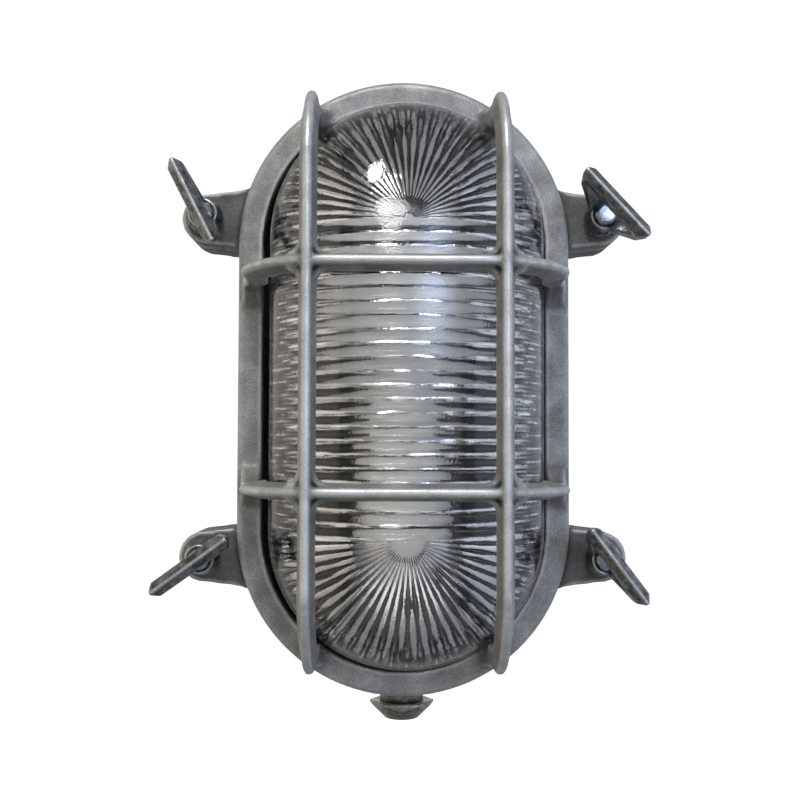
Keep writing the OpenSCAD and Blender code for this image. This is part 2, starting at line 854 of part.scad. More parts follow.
// The gland's nut: a hexagon that tapers to a round mouth.
module gland_nut() {
    taper_r = gland_mouth_r + gland_nut_length;
    inner_end = spigot_end + gland_ring_thick;
    color("#7b7d80") upright() on_gland_axis() difference() {
        translate([0, 0, gland_nut_z]) intersection() {
            hexagon_prism(gland_nut_length);
            cylinder(r1 = taper_r, r2 = gland_mouth_r, h = gland_nut_length);
        }
        translate([0, 0, gland_nut_z - over])
            cylinder(r = gland_spigot / 2 + thread_play, h = inner_end - gland_nut_z + over);
        translate([0, 0, inner_end - over]) cylinder(r = gland_bore_r, h = gland_nut_end + 2 * over);
    }
}

back_housing();
cover_frame();
ribbed_glass();
front_gasket();
rear_gasket();
studs();
for (corner = corners) {
    washer(corner);
    wing_nut(corner);
}
lampholder_body();
screw_shell();
centre_contact();
terminal_screws();
holder_screws();
lampholder_bracket();
bracket_screws();
earth_screw();
lamp();
gland_washer();
gland_body();
gland_seal();
gland_slip_ring();
gland_nut();
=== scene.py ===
import math

import bmesh
import bpy
import numpy as np
from mathutils import Matrix, Vector


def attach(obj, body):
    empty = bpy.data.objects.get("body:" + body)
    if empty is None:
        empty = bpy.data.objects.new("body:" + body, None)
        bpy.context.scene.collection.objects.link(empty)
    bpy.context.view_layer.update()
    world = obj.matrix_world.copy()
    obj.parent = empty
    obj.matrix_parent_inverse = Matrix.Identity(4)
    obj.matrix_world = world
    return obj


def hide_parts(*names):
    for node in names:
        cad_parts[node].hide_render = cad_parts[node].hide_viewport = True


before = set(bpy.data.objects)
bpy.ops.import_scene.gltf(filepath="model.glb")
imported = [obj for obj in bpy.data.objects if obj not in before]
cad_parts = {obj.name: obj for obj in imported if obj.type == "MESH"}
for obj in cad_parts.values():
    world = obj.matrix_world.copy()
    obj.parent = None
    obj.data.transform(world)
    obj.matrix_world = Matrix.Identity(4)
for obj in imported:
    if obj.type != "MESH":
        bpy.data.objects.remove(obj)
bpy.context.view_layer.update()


# Cover frame
# One aluminium sand casting: the oval rim, its four ears and the guard's bars in a single piece.
# It drops over the studs and clamps the glass. Sand leaves a fine grain and soft edges,
# and hands and cloths brighten the noses of the bars.

def linear(hex_colour):
    """An sRGB hex colour as linear red, green, blue and alpha."""
    parts = [int(hex_colour[i:i + 2], 16) / 255 for i in (1, 3, 5)]
    return [p / 12.92 if p <= 0.04045 else ((p + 0.055) / 1.055) ** 2.4 for p in parts] + [1.0]


def add(tree, kind, settings={}, inputs={}):
    """Adds a node. A socket given as an input is linked, anything else is set on it."""
    node = tree.nodes.new(kind)
    for name, value in settings.items():
        setattr(node, name, value)
    for name, value in inputs.items():
        if isinstance(value, bpy.types.NodeSocket):
            tree.links.new(value, node.inputs[name])
        else:
            node.inputs[name].default_value = value
    return node


def blank_material(name):
    """A new material with an empty node tree."""
    material = bpy.data.materials.new(name)
    material.use_nodes = True
    material.node_tree.nodes.clear()
    return material, material.node_tree


def set_stops(ramp, stops):
    """Gives a colour ramp its stops, as pairs of place and hex colour."""
    marks = ramp.color_ramp.elements
    while len(marks) < len(stops):
        marks.new(1.0)
    for mark, (place, colour) in zip(marks, stops):
        mark.position = place
        mark.color = linear(colour)


JOIN_WITHIN = 1e-6


def merged_copy(name, node):
    """A linked copy of a CAD solid with its loose triangles joined up."""
    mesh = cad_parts[node].data.copy()
    solid = bmesh.new()
    solid.from_mesh(mesh)
    bmesh.ops.remove_doubles(solid, verts=solid.verts, dist=JOIN_WITHIN)
    solid.to_mesh(mesh)
    solid.free()
    piece = bpy.data.objects.new(name, mesh)
    bpy.context.scene.collection.objects.link(piece)
    return piece


def make_plain(piece):
    """Turns a piece with modifiers into a plain mesh."""
    graph = bpy.context.evaluated_depsgraph_get()
    made = bpy.data.meshes.new_from_object(piece.evaluated_get(graph))
    piece.modifiers.clear()
    piece.data = made
    return made


SMOOTH_IN, SMOOTH_OUT = 0.5, -0.52
WEAR_BLUR = 3


def soft_casting(name, node, voxel, rounds, material):
    """A CAD solid with the melted edges of a casting. Its convex edges are marked as worn, and its inside
    corners for painted shade.
    """
    piece = merged_copy(name, node)
    voxels = piece.modifiers.new("voxels", "REMESH")
    voxels.mode = "VOXEL"
    voxels.voxel_size = voxel
    corners = np.array(piece.bound_box)
    mesh = make_plain(piece)
    size = len(mesh.vertices)
    points = np.empty(size * 3)
    mesh.vertices.foreach_get("co", points)
    points = points.reshape(-1, 3)
    edges = np.empty(len(mesh.edges) * 2, np.int32)
    mesh.edges.foreach_get("vertices", edges)
    edges = edges.reshape(-1, 2)
    start, end = np.concatenate([edges, edges[:, ::-1]]).T
    links = np.bincount(start, minlength=size)

    def around(values):
        """The mean of each point's neighbours."""
        return np.bincount(start, weights=values[end], minlength=size) / links

    for step in [SMOOTH_IN, SMOOTH_OUT] * rounds:
        points += step * (np.stack([around(axis) for axis in points.T], 1) - points)
    points = np.clip(points, corners.min(0), corners.max(0))
    mesh.vertices.foreach_set("co", points.ravel())
    mesh.update()
    normals = np.empty(size * 3)
    mesh.vertex_normals.foreach_get("vector", normals)
    means = np.stack([around(axis) for axis in points.T], 1)
    bulge = ((points - means) * normals.reshape(-1, 3)).sum(1) / voxel
    for _ in range(WEAR_BLUR):
        bulge = (bulge + around(bulge)) / 2
    mesh.attributes.new("wear_and_corner_shade", "FLOAT", "POINT").data.foreach_set("value", bulge)
    mesh.polygons.foreach_set("use_smooth", np.ones(len(mesh.polygons), bool))
    mesh.materials.clear()
    mesh.materials.append(material)
    return piece


# Sand-cast aluminium, bead-blasted and gone dull: a matt grey with grain about half a millimetre
# wide, drawn at 0.7 mm so that it shows, and cloudy patches. The noses of the bars are rubbed bright and
# smooth. Inside corners are painted darker as shade, and all that lies behind the rim's face is painted
# darker as shade, the inside of the pan most of all.
GRAIN = 1 / 0.0007
CLOUD = 1 / 0.011
RIM_FACE, PAINTED_SHADE_FROM = -0.0545, -0.0500
BULGE_FROM, BULGE_FULL = 0.02, 0.12
HALF_STRAIGHT = 0.0553
PAN_DEPTH, HALF_FLOOR = 0.0360, 0.0020
PAN_WALL_BACK, PAN_WALL_FRONT = 0.0570, 0.0595
cast_aluminium, tree = blank_material("sand_cast_aluminium")
place = add(tree, "ShaderNodeTexCoord").outputs["Object"]
grain = add(tree, "ShaderNodeTexNoise",
            inputs={"Vector": place, "Scale": GRAIN, "Detail": 3.0, "Roughness": 0.7})
cloud = add(tree, "ShaderNodeTexNoise",
            inputs={"Vector": place, "Scale": CLOUD, "Detail": 4.0, "Roughness": 0.65})
tone = add(tree, "ShaderNodeMix", {"data_type": "FLOAT"},
           {"Factor": 0.5, "A": cloud.outputs["Fac"], "B": grain.outputs["Fac"]})
ramp = add(tree, "ShaderNodeValToRGB", inputs={"Fac": tone.outputs["Result"]})
set_stops(ramp, [(0.36, "#777775"), (0.52, "#9a9a98"), (0.66, "#bcbcb9")])
on_axis = add(tree, "ShaderNodeVectorMath", {"operation": "MINIMUM"},
              {0: place, 1: (0.0, 0.0, HALF_STRAIGHT)}).outputs["Vector"]
on_axis = add(tree, "ShaderNodeVectorMath", {"operation": "MAXIMUM"},
              {0: on_axis, 1: (0.0, 0.0, -HALF_STRAIGHT)}).outputs["Vector"]
off_axis = add(tree, "ShaderNodeVectorMath", {"operation": "SUBTRACT"}, {0: place, 1: on_axis})
flat = add(tree, "ShaderNodeVectorMath", {"operation": "MULTIPLY"},
           {0: off_axis.outputs["Vector"], 1: (1.0, 0.0, 1.0)})
reach = add(tree, "ShaderNodeVectorMath", {"operation": "LENGTH"}, {0: flat.outputs["Vector"]})
depth = add(tree, "ShaderNodeSeparateXYZ", inputs={"Vector": place}).outputs["Y"]
pan_wall = add(tree, "ShaderNodeMapRange",
               inputs={"Value": depth, "From Min": 0.0, "From Max": -PAN_DEPTH,
                       "To Min": PAN_WALL_BACK, "To Max": PAN_WALL_FRONT})
past_wall = add(tree, "ShaderNodeMath", {"operation": "GREATER_THAN"},
                {0: reach.outputs["Value"], 1: pan_wall.outputs["Result"]})
past_floor = add(tree, "ShaderNodeMath", {"operation": "GREATER_THAN"}, {0: depth, 1: -HALF_FLOOR})
outside = add(tree, "ShaderNodeMath", {"operation": "MAXIMUM"},
              {0: past_wall.outputs["Value"], 1: past_floor.outputs["Value"]})
# Painted shade: all that lies behind the rim's face is darkened, the outer surfaces by a mid grey and the
# inside of the pan by a much darker grey.
painted_shade_amount = add(tree, "ShaderNodeMapRange",
             inputs={"Value": depth, "From Min": RIM_FACE, "From Max": PAINTED_SHADE_FROM})
shade = add(tree, "ShaderNodeMix", {"data_type": "RGBA"},
            {"Factor": outside.outputs["Value"], "A": linear("#5c5b5a"), "B": linear("#acacaa")})
with_painted_shade = add(tree, "ShaderNodeMix", {"data_type": "RGBA", "blend_type": "MULTIPLY"},
           {"Factor": painted_shade_amount.outputs["Result"], "A": ramp.outputs["Color"], "B": shade.outputs["Result"]})
wear_and_corner_shade = add(tree, "ShaderNodeAttribute", {"attribute_name": "wear_and_corner_shade"}).outputs["Fac"]
rubbed = add(tree, "ShaderNodeMapRange",
             inputs={"Value": wear_and_corner_shade, "From Min": BULGE_FROM, "From Max": BULGE_FULL, "To Max": 1.5})
rubbed_patchy = add(tree, "ShaderNodeMath", {"operation": "MULTIPLY"},
                    {0: rubbed.outputs["Result"], 1: tone.outputs["Result"]})
bright = add(tree, "ShaderNodeMix", {"data_type": "RGBA"},
             {"Factor": rubbed_patchy.outputs["Value"], "A": with_painted_shade.outputs["Result"], "B": linear("#e4e4e0")})
# Painted shade: inside corners, where the surface bulges inwards, are darkened towards a near-black grey.
corner = add(tree, "ShaderNodeMapRange",
             inputs={"Value": wear_and_corner_shade, "From Min": -BULGE_FROM, "From Max": -BULGE_FULL})
colour = add(tree, "ShaderNodeMix", {"data_type": "RGBA"},
             {"Factor": corner.outputs["Result"], "A": bright.outputs["Result"], "B": linear("#3c3c3b")})
matt = add(tree, "ShaderNodeMapRange",
           inputs={"Value": tone.outputs["Result"], "From Min": 0.3, "From Max": 0.7,
                   "To Min": 0.68, "To Max": 0.48})
polish = add(tree, "ShaderNodeMix", {"data_type": "FLOAT"},
             {"Factor": rubbed_patchy.outputs["Value"], "A": matt.outputs["Result"], "B": 0.30})
relief = add(tree, "ShaderNodeBump",
             inputs={"Strength": 0.6, "Distance": 0.0003, "Height": tone.outputs["Result"]})
shader = add(tree, "ShaderNodeBsdfPrincipled",
             inputs={"Base Color": colour.outputs["Result"], "Metallic": 0.6,
                     "Roughness": polish.outputs["Result"], "Normal": relief.outputs["Normal"]})
add(tree, "ShaderNodeOutputMaterial", inputs={"Surface": shader.outputs["BSDF"]})

cover = soft_casting("cover_casting", "cover_frame", voxel=0.0009, rounds=5, material=cast_aluminium)
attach(cover, "light")
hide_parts("cover_frame")


# Back housing
# The pan that is screwed to the wall, cast in the same metal as the cover, with drafted sides,
# bosses on its floor and an ear below each ear of the cover. It came out of the same sand.

housing = soft_casting("housing_casting", "back_housing", voxel=0.0012, rounds=4, material=cast_aluminium)
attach(housing, "light")
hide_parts("back_housing")


# Ribbed glass
# A thick pressing of clear glass, smooth outside. The plunger that pressed it left round, uneven ridges
# with sharp valleys across the inside of its vault and a fan of them in each round end. The cover
# clamps it by its flange between two gaskets, where it came to rest a little to the right.

DOME = 0.0595
OUTER = 0.0527
BORE = 0.0487
SKIRT = 0.0530
FLANGE = 0.0600
FLANGE_BACK, FLANGE_FRONT = 0.0380, 0.0430
RIDGES, FAN_RIDGES = 23, 27
RIDGE_HEIGHT, FAN_RIDGE_HEIGHT = 0.0013, 0.0020
BUTTON, FULL_FROM = 0.0030, 0.0080
UNEVEN, UNEVEN_LENGTH = 0.22, 0.009
VALLEY_ANGLE = math.radians(50)
EASE = 0.0004
REST = 0.0009
ROWS_PER_RIDGE = 8
ARC_STEPS = 72


def vault_patches(radius):
    """The vault and its two round ends as grids of points."""
    rows = np.linspace(-HALF_STRAIGHT, HALF_STRAIGHT, RIDGES * ROWS_PER_RIDGE + 1)
    arc = np.linspace(-math.pi / 2, math.pi / 2, ARC_STEPS + 1)
    along, across = np.meshgrid(rows, arc, indexing="ij")
    yield np.stack([radius * np.sin(across), -DOME - radius * np.cos(across), along], -1)
    turn = np.linspace(0, math.pi, FAN_RIDGES * ROWS_PER_RIDGE + 1)
    fall = np.linspace(0, math.pi / 2, ARC_STEPS // 2 + 1)
    turn, fall = np.meshgrid(turn, fall, indexing="ij")
    flat = radius * np.sin(fall)
    for end in (1, -1):
        yield np.stack([flat * np.cos(turn), -DOME - radius * np.cos(fall),
                        end * (HALF_STRAIGHT + flat * np.sin(turn))], -1)


def oval_loop(radius, depth):
    """Points round the oval at a given radius and distance from the wall."""
    rows = np.linspace(-HALF_STRAIGHT, HALF_STRAIGHT, RIDGES * ROWS_PER_RIDGE + 1)
    turn = np.linspace(0, math.pi, FAN_RIDGES * ROWS_PER_RIDGE + 1)
    side = np.stack([np.full_like(rows, radius), np.full_like(rows, -depth), rows], -1)
    bend = np.stack([radius * np.cos(turn), np.full_like(turn, -depth),
                     HALF_STRAIGHT + radius * np.sin(turn)], -1)
    half = np.concatenate([side[:-1], bend[:-1]])
    return np.concatenate([half, half * [-1, 1, -1]])


def grid_faces(rows, columns):
    """Quads between the points of a grid that is stored row by row."""
    corner = (np.arange(rows - 1)[:, None] * columns + np.arange(columns - 1)).ravel()
    return np.stack([corner, corner + 1, corner + columns + 1, corner + columns], 1)


def join_patches(name, patches):
    """One closed mesh from grids of points whose edges meet, its faces turned outwards."""
    points, faces, count = [], [], 0
    for patch in patches:
        faces.append(grid_faces(*patch.shape[:2]) + count)
        points.append(patch.reshape(-1, 3))
        count += patch.shape[0] * patch.shape[1]
    mesh = bpy.data.meshes.new(name)
    mesh.from_pydata(np.concatenate(points).tolist(), [], np.concatenate(faces).tolist())
    solid = bmesh.new()
    solid.from_mesh(mesh)
    bmesh.ops.remove_doubles(solid, verts=solid.verts, dist=JOIN_WITHIN)
    bmesh.ops.recalc_face_normals(solid, faces=solid.faces)
    solid.to_mesh(mesh)
    solid.free()
    mesh.polygons.foreach_set("use_smooth", np.ones(len(mesh.polygons), bool))
    piece = bpy.data.objects.new(name, mesh)
    bpy.context.scene.collection.objects.link(piece)
    return piece


loops = [oval_loop(*spot) for spot in (
    (OUTER, DOME), (SKIRT - EASE, DOME - EASE), (SKIRT, DOME - 2 * EASE),
    (SKIRT, FLANGE_FRONT + EASE), (SKIRT + EASE, FLANGE_FRONT),
    (FLANGE - EASE, FLANGE_FRONT), (FLANGE, FLANGE_FRONT - EASE),
    (FLANGE, FLANGE_BACK + EASE), (FLANGE - EASE, FLANGE_BACK),
    (BORE + EASE, FLANGE_BACK), (BORE, FLANGE_BACK + EASE), (BORE, DOME))]
wall = np.stack([np.concatenate([loop, loop[:1]]) for loop in loops])
glass = join_patches("ribbed_glass_pressing", [*vault_patches(OUTER), wall, *vault_patches(BORE)])
points = np.empty(len(glass.data.vertices) * 3)
glass.data.vertices.foreach_get("co", points)
points = points.reshape(-1, 3)
middle = np.clip(points[:, 2], -HALF_STRAIGHT, HALF_STRAIGHT)
reach = np.linalg.norm(points - np.stack([middle * 0, middle * 0 - DOME, middle], 1), axis=1)
inside = (points[:, 1] < -DOME - EASE) & (reach < (OUTER + BORE) / 2)
pressed = glass.data.attributes.new("pressed", "FLOAT", "POINT")
pressed.data.foreach_set("value", inside.astype(np.float32))

# Pressed soda-lime glass: clear with a faint grey cast, fire-polished, so that it is glossy,
# with a slow ripple about 6 mm long from the mould and an orange peel of about 0.8 mm on top.
RIPPLE = 1 / 0.006
PEEL = 1 / 0.0008
pressed_glass, tree = blank_material("pressed_soda_lime_glass")
place = add(tree, "ShaderNodeTexCoord").outputs["Object"]
ripple = add(tree, "ShaderNodeTexNoise", inputs={"Vector": place, "Scale": RIPPLE, "Detail": 2.0})
relief = add(tree, "ShaderNodeBump",
             inputs={"Strength": 0.25, "Distance": 0.0003, "Height": ripple.outputs["Fac"]})
peel = add(tree, "ShaderNodeTexNoise", inputs={"Vector": place, "Scale": PEEL, "Detail": 1.0})
relief = add(tree, "ShaderNodeBump",
             inputs={"Strength": 0.5, "Distance": 0.0001, "Height": peel.outputs["Fac"],
                     "Normal": relief.outputs["Normal"]})
shader = add(tree, "ShaderNodeBsdfPrincipled",
             inputs={"Base Color": linear("#f4f4f4"), "Roughness": 0.02, "IOR": 1.52,
                     "Transmission Weight": 1.0, "Normal": relief.outputs["Normal"]})
add(tree, "ShaderNodeOutputMaterial", inputs={"Surface": shader.outputs["BSDF"]})


def named_tree(name, sizes):
    """A Geometry Nodes tree with a geometry going in and out, and named sizes."""
    tree = bpy.data.node_groups.new(name, "GeometryNodeTree")
    tree.interface.new_socket("Geometry", in_out="INPUT", socket_type="NodeSocketGeometry")
    for label in sizes:
        tree.interface.new_socket(label, in_out="INPUT", socket_type="NodeSocketFloat")
    tree.interface.new_socket("Geometry", in_out="OUTPUT", socket_type="NodeSocketGeometry")
    return tree, add(tree, "NodeGroupInput").outputs


def run_tree(piece, tree, sizes):
    """Runs a tree on a piece with its sizes and keeps the result as a plain mesh."""
    modifier = piece.modifiers.new(tree.name, "NODES")
    modifier.node_group = tree
    for item in tree.interface.items_tree:
        if item.in_out == "INPUT" and item.name in sizes:
            modifier[item.identifier] = sizes[item.name]
    return make_plain(piece)


def press_ridges():
    """Raises round ridges across the inside of the vault and fans of them in its ends."""
    sizes = {"Straight from": -HALF_STRAIGHT, "Straight to": HALF_STRAIGHT,
             "Dome centre": -DOME, "Bore": BORE,
             "Half pitch": HALF_STRAIGHT / RIDGES, "Half fan pitch": math.pi / FAN_RIDGES / 2,
             "Ridge height": RIDGE_HEIGHT, "Fan ridge height": FAN_RIDGE_HEIGHT,
             "Button": BUTTON, "Full from": FULL_FROM,
             "Waves a metre": 1 / UNEVEN_LENGTH, "Press low": 1 - UNEVEN, "Press high": 1 + UNEVEN}
    tree, size = named_tree("press_ridges", sizes)
    spot = add(tree, "GeometryNodeInputPosition").outputs["Position"]
    z = add(tree, "ShaderNodeSeparateXYZ", inputs={"Vector": spot}).outputs["Z"]
    core_z = add(tree, "ShaderNodeClamp",
                 inputs={"Value": z, "Min": size["Straight from"], "Max": size["Straight to"]})
    axis = add(tree, "ShaderNodeCombineXYZ",
               inputs={"X": 0.0, "Y": size["Dome centre"], "Z": core_z.outputs["Result"]})
    away = add(tree, "ShaderNodeVectorMath", {"operation": "SUBTRACT"},
               {0: spot, 1: axis.outputs["Vector"]}).outputs["Vector"]
    x, _, end = add(tree, "ShaderNodeSeparateXYZ", inputs={"Vector": away}).outputs
    past = add(tree, "ShaderNodeMath", {"operation": "ABSOLUTE"}, {0: end}).outputs["Value"]
    at_end = add(tree, "ShaderNodeMath", {"operation": "GREATER_THAN"}, {0: past, 1: 0.0}).outputs["Value"]
    off_crest = add(tree, "ShaderNodeMath", {"operation": "PINGPONG"}, {0: z, 1: size["Half pitch"]})
    across = add(tree, "ShaderNodeMapRange",
                 inputs={"Value": off_crest.outputs["Value"], "From Max": size["Half pitch"]})
    turn = add(tree, "ShaderNodeMath", {"operation": "ARCTAN2"}, {0: past, 1: x})
    off_valley = add(tree, "ShaderNodeMath", {"operation": "PINGPONG"},
                     {0: turn.outputs["Value"], 1: size["Half fan pitch"]})
    fanned = add(tree, "ShaderNodeMapRange",
                 inputs={"Value": off_valley.outputs["Value"],
                         "From Min": size["Half fan pitch"], "From Max": 0.0})
    offset = add(tree, "ShaderNodeMix", {"data_type": "FLOAT"},
                 {"Factor": at_end, "A": across.outputs["Result"], "B": fanned.outputs["Result"]})
    fall = add(tree, "ShaderNodeMath", {"operation": "POWER"}, {0: offset.outputs["Result"], 1: 2.0})
    lift = add(tree, "ShaderNodeMath", {"operation": "SUBTRACT"},
               {0: 1.0, 1: fall.outputs["Value"]}).outputs["Value"]
    plan = add(tree, "ShaderNodeVectorMath", {"operation": "MULTIPLY"}, {0: away, 1: (1.0, 0.0, 1.0)})
    flat = add(tree, "ShaderNodeVectorMath", {"operation": "LENGTH"},
               {0: plan.outputs["Vector"]}).outputs["Value"]
    narrow = add(tree, "ShaderNodeMapRange",
                 inputs={"Value": flat, "From Max": size["Bore"], "To Max": size["Fan ridge height"]})
    fade = add(tree, "ShaderNodeMapRange", {"interpolation_type": "SMOOTHSTEP"},
               {"Value": flat, "From Min": size["Button"], "From Max": size["Full from"],
                "To Max": narrow.outputs["Result"]})
    rise = add(tree, "ShaderNodeMix", {"data_type": "FLOAT"},
               {"Factor": at_end, "A": size["Ridge height"], "B": fade.outputs["Result"]})
    flow = add(tree, "ShaderNodeTexNoise",
               inputs={"Vector": spot, "Scale": size["Waves a metre"], "Detail": 2.0})
    press = add(tree, "ShaderNodeMapRange",
                inputs={"Value": flow.outputs["Fac"], "From Min": 0.3, "From Max": 0.7,
                        "To Min": size["Press low"], "To Max": size["Press high"]})
    pressed = add(tree, "GeometryNodeInputNamedAttribute", {"data_type": "FLOAT"}, {"Name": "pressed"})
    for share in (rise.outputs["Result"], press.outputs["Result"], pressed.outputs["Attribute"]):
        lift = add(tree, "ShaderNodeMath", {"operation": "MULTIPLY"}, {0: lift, 1: share}).outputs["Value"]
    outwards = add(tree, "ShaderNodeVectorMath", {"operation": "NORMALIZE"}, {0: away})
    raised = add(tree, "ShaderNodeVectorMath", {"operation": "SCALE"},
                 {0: outwards.outputs["Vector"], "Scale": lift})
    inner = add(tree, "ShaderNodeVectorMath", {"operation": "SUBTRACT"},
                {0: spot, 1: raised.outputs["Vector"]})
    moved = add(tree, "GeometryNodeSetPosition",
                inputs={"Geometry": size["Geometry"], "Position": inner.outputs["Vector"]})
    solid = add(tree, "GeometryNodeRealizeInstances", inputs={"Geometry": moved.outputs["Geometry"]})
    dressed = add(tree, "GeometryNodeSetMaterial",
                  inputs={"Geometry": solid.outputs["Geometry"], "Material": pressed_glass})
    add(tree, "NodeGroupOutput", inputs={"Geometry": dressed.outputs["Geometry"]})
    return tree, sizes


run_tree(glass, *press_ridges())
glass.data.set_sharp_from_angle(angle=VALLEY_ANGLE)
glass.data.transform(Matrix.Translation((REST, 0, 0)))
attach(glass, "light")
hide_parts("ribbed_glass")


# Gaskets
# Two flat oval rings of black rubber, one behind the glass flange and one in front of it.
# They are cut from sheet, and the front one is the black line round the glass.
# The seal in the cable gland is of the same rubber.

def dress(node, material):
    """Gives a CAD node's own mesh a material."""
    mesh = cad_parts[node].data
    mesh.materials.clear()
    mesh.materials.append(material)


# Black nitrile sheet: matt, with a fine pebble from calendering, about 0.8 mm across.
PEBBLE = 1 / 0.0008
rubber, tree = blank_material("calendered_nitrile_rubber")
place = add(tree, "ShaderNodeTexCoord").outputs["Object"]
pebble = add(tree, "ShaderNodeTexNoise", inputs={"Vector": place, "Scale": PEBBLE, "Detail": 2.0})
ramp = add(tree, "ShaderNodeValToRGB", inputs={"Fac": pebble.outputs["Fac"]})
set_stops(ramp, [(0.3, "#050505"), (0.7, "#0e0e0e")])
relief = add(tree, "ShaderNodeBump",
             inputs={"Strength": 0.3, "Distance": 0.0002, "Height": pebble.outputs["Fac"]})
shader = add(tree, "ShaderNodeBsdfPrincipled",
             inputs={"Base Color": ramp.outputs["Color"], "Roughness": 0.85, "Specular IOR Level": 0.2,
                     "Normal": relief.outputs["Normal"]})
add(tree, "ShaderNodeOutputMaterial", inputs={"Surface": shader.outputs["BSDF"]})
for node in ("front_gasket", "rear_gasket", "gland_seal"):
    dress(node, rubber)


# Studs
# Four lengths of zinc-plated M8 rod screwed into blind holes in the housing's ears.
# They carry the cover, and their bevelled ends show in the loops of the wing nuts.

STUD_X, STUD_Z = 0.0785, 0.0670
STUD_ROOT, STUD_END = 0.0210, 0.0610
STUD_R, STUD_BEVEL = 0.0040, 0.0010
THREAD_FROM = 0.0440
THREAD_PITCH = 0.00125
THREAD_DEPTH = 0.0006
STEPS_PER_PITCH = 5
ROUND_STEPS = 28
SHARP_FROM = math.radians(40)


def threaded_rod():
    """One stud along -Y from its root, with a rolled thread on the end that shows."""
    plain = [STUD_ROOT, THREAD_FROM]
    step = THREAD_PITCH / STEPS_PER_PITCH
    turns = np.arange(THREAD_FROM + step, STUD_END, step)
    depths = np.concatenate([plain, turns, [STUD_END]])
    turn = np.linspace(0, 2 * math.pi, ROUND_STEPS + 1)
    depth, angle = np.meshgrid(depths, turn, indexing="ij")
    groove = np.abs(((depth / THREAD_PITCH - angle / (2 * math.pi)) % 1) * 2 - 1)
    radius = STUD_R - THREAD_DEPTH * groove * (depth > THREAD_FROM)
    radius = np.minimum(radius, STUD_R - STUD_BEVEL + (STUD_END - depth))
    side = np.stack([radius * np.cos(angle), -depth, radius * np.sin(angle)], -1)
    caps = [np.stack([side[i] * [0, 1, 0], side[i]]) for i in (0, -1)]
    return join_patches("zinc_plated_studs", [side, *caps])


# Zinc plate, blue-passivated over rolled steel: bright, bluish, with a cloudy spangle about 2.5 mm wide.
SPANGLE = 1 / 0.0025
zinc, tree = blank_material("blue_zinc_plated_steel")
place = add(tree, "ShaderNodeTexCoord").outputs["Object"]
spangle = add(tree, "ShaderNodeTexNoise", inputs={"Vector": place, "Scale": SPANGLE, "Detail": 3.0})
ramp = add(tree, "ShaderNodeValToRGB", inputs={"Fac": spangle.outputs["Fac"]})
set_stops(ramp, [(0.3, "#9aa5b2"), (0.7, "#d6dee6")])
polish = add(tree, "ShaderNodeMapRange",
             inputs={"Value": spangle.outputs["Fac"], "From Min": 0.3, "From Max": 0.7,
                     "To Min": 0.34, "To Max": 0.2})
shader = add(tree, "ShaderNodeBsdfPrincipled",
             inputs={"Base Color": ramp.outputs["Color"], "Metallic": 1.0,
                     "Roughness": polish.outputs["Result"]})
add(tree, "ShaderNodeOutputMaterial", inputs={"Surface": shader.outputs["BSDF"]})


def set_of_studs():
    """Copies one stud to the four corners."""
    sizes = {"Stud across": 2 * STUD_X, "Stud along": 2 * STUD_Z}
    tree, size = named_tree("set_of_studs", sizes)
    corners = add(tree, "GeometryNodeMeshGrid",
                  inputs={"Size X": size["Stud across"], "Size Y": size["Stud along"],
                          "Vertices X": 2, "Vertices Y": 2})
    upright = add(tree, "GeometryNodeTransform",
                  inputs={"Geometry": corners.outputs["Mesh"], "Rotation": (math.pi / 2, 0.0, 0.0)})
    copies = add(tree, "GeometryNodeInstanceOnPoints",
                 inputs={"Points": upright.outputs["Geometry"], "Instance": size["Geometry"]})
    solid = add(tree, "GeometryNodeRealizeInstances", inputs={"Geometry": copies.outputs["Instances"]})
    dressed = add(tree, "GeometryNodeSetMaterial",
                  inputs={"Geometry": solid.outputs["Geometry"], "Material": zinc})
    add(tree, "NodeGroupOutput", inputs={"Geometry": dressed.outputs["Geometry"]})
    return tree, sizes


studs = threaded_rod()
run_tree(studs, *set_of_studs())
studs.data.set_sharp_from_angle(angle=SHARP_FROM)
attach(studs, "light")
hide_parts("studs")


# Washers and wing nuts
# Each corner is held by a cast wing nut with a loop for the fingers, on a plain steel washer.
# The nuts are malleable iron, dipped in zinc, which has gone dull and dark on their flats.

FLAT_WITHIN = math.radians(1)
BEVEL_FROM = math.radians(35)


def eased(name, node, width, material):
    """A CAD solid with its sharp edges broken by a small bevel."""
    piece = merged_copy(name, node)
    solid = bmesh.new()
    solid.from_mesh(piece.data)
    bmesh.ops.dissolve_limit(solid, angle_limit=FLAT_WITHIN, verts=solid.verts, edges=solid.edges)
    solid.to_mesh(piece.data)
    solid.free()
    bevel = piece.modifiers.new("broken_edges", "BEVEL")
    bevel.width = width
    bevel.segments = 2
    bevel.limit_method = "ANGLE"
    bevel.angle_limit = BEVEL_FROM
    mesh = make_plain(piece)
    mesh.polygons.foreach_set("use_smooth", np.ones(len(mesh.polygons), bool))
    mesh.set_sharp_from_angle(angle=SHARP_FROM)
    mesh.materials.clear()
    mesh.materials.append(material)
    return piece


